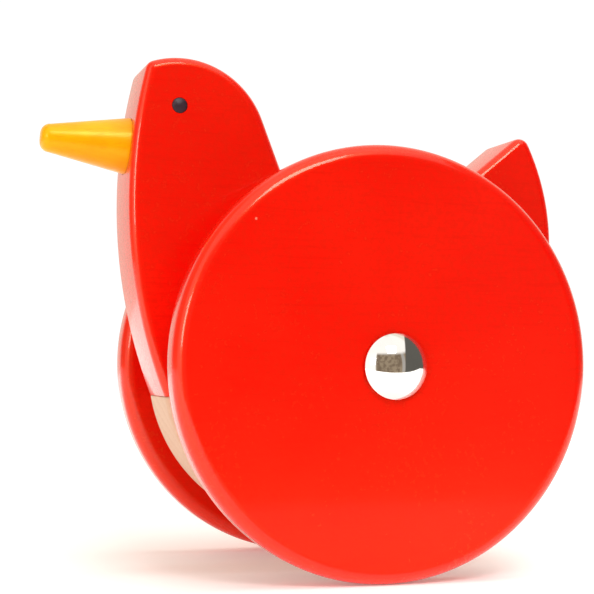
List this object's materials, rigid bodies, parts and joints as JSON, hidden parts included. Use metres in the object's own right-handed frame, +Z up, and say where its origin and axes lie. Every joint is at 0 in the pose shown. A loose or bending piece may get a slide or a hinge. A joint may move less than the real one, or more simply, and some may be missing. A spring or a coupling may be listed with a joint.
{
  "type": "rolling bird pull along toy",
  "caption": "Wooden rolling toy: a red bird-shaped board with a peg beak and a bare belly, hung on an axle between big round red wheels that spin freely.",
  "frame": {"origin": "on the floor, under the middle of the toy's box; the axle is 45 mm above the floor and 9 mm behind the origin", "axes": "+X the way the bird faces, +Y along the axle to the bird's left, +Z up"},
  "size_m": [0.1162, 0.0728, 0.1099],
  "materials": {
    "red_lacquer": "gloss",
    "bare_beech": "satin",
    "yellow_lacquer": "gloss",
    "black_paint": "gloss",
    "steel": "satin",
    "chrome": "polished"
  },
  "bodies": {
    "bird": {"bird_body": "red_lacquer", "belly_block": "bare_beech", "beak": "yellow_lacquer", "left_eye": "black_paint", "right_eye": "black_paint", "left_spacer": "bare_beech", "right_spacer": "bare_beech", "axle": "steel", "left_axle_cap": "chrome", "right_axle_cap": "chrome", "front_ballast": "steel", "rear_ballast": "steel", "front_ballast_plug": "bare_beech", "rear_ballast_plug": "bare_beech", "front_glue_dowel": "bare_beech", "rear_glue_dowel": "bare_beech"},
    "left_wheel": {"left_wheel": "red_lacquer"},
    "right_wheel": {"right_wheel": "red_lacquer"}
  },
  "joints": [
    {"name": "left_wheel_spin", "type": "hinge", "parent": "bird", "child": "left_wheel", "pos_m": [-0.00939, 0.028, 0.04497], "axis": [0, 1, 0], "continuous": true},
    {"name": "right_wheel_spin", "type": "hinge", "parent": "bird", "child": "right_wheel", "pos_m": [-0.00939, -0.028, 0.04497], "axis": [0, 1, 0], "continuous": true}
  ]
}
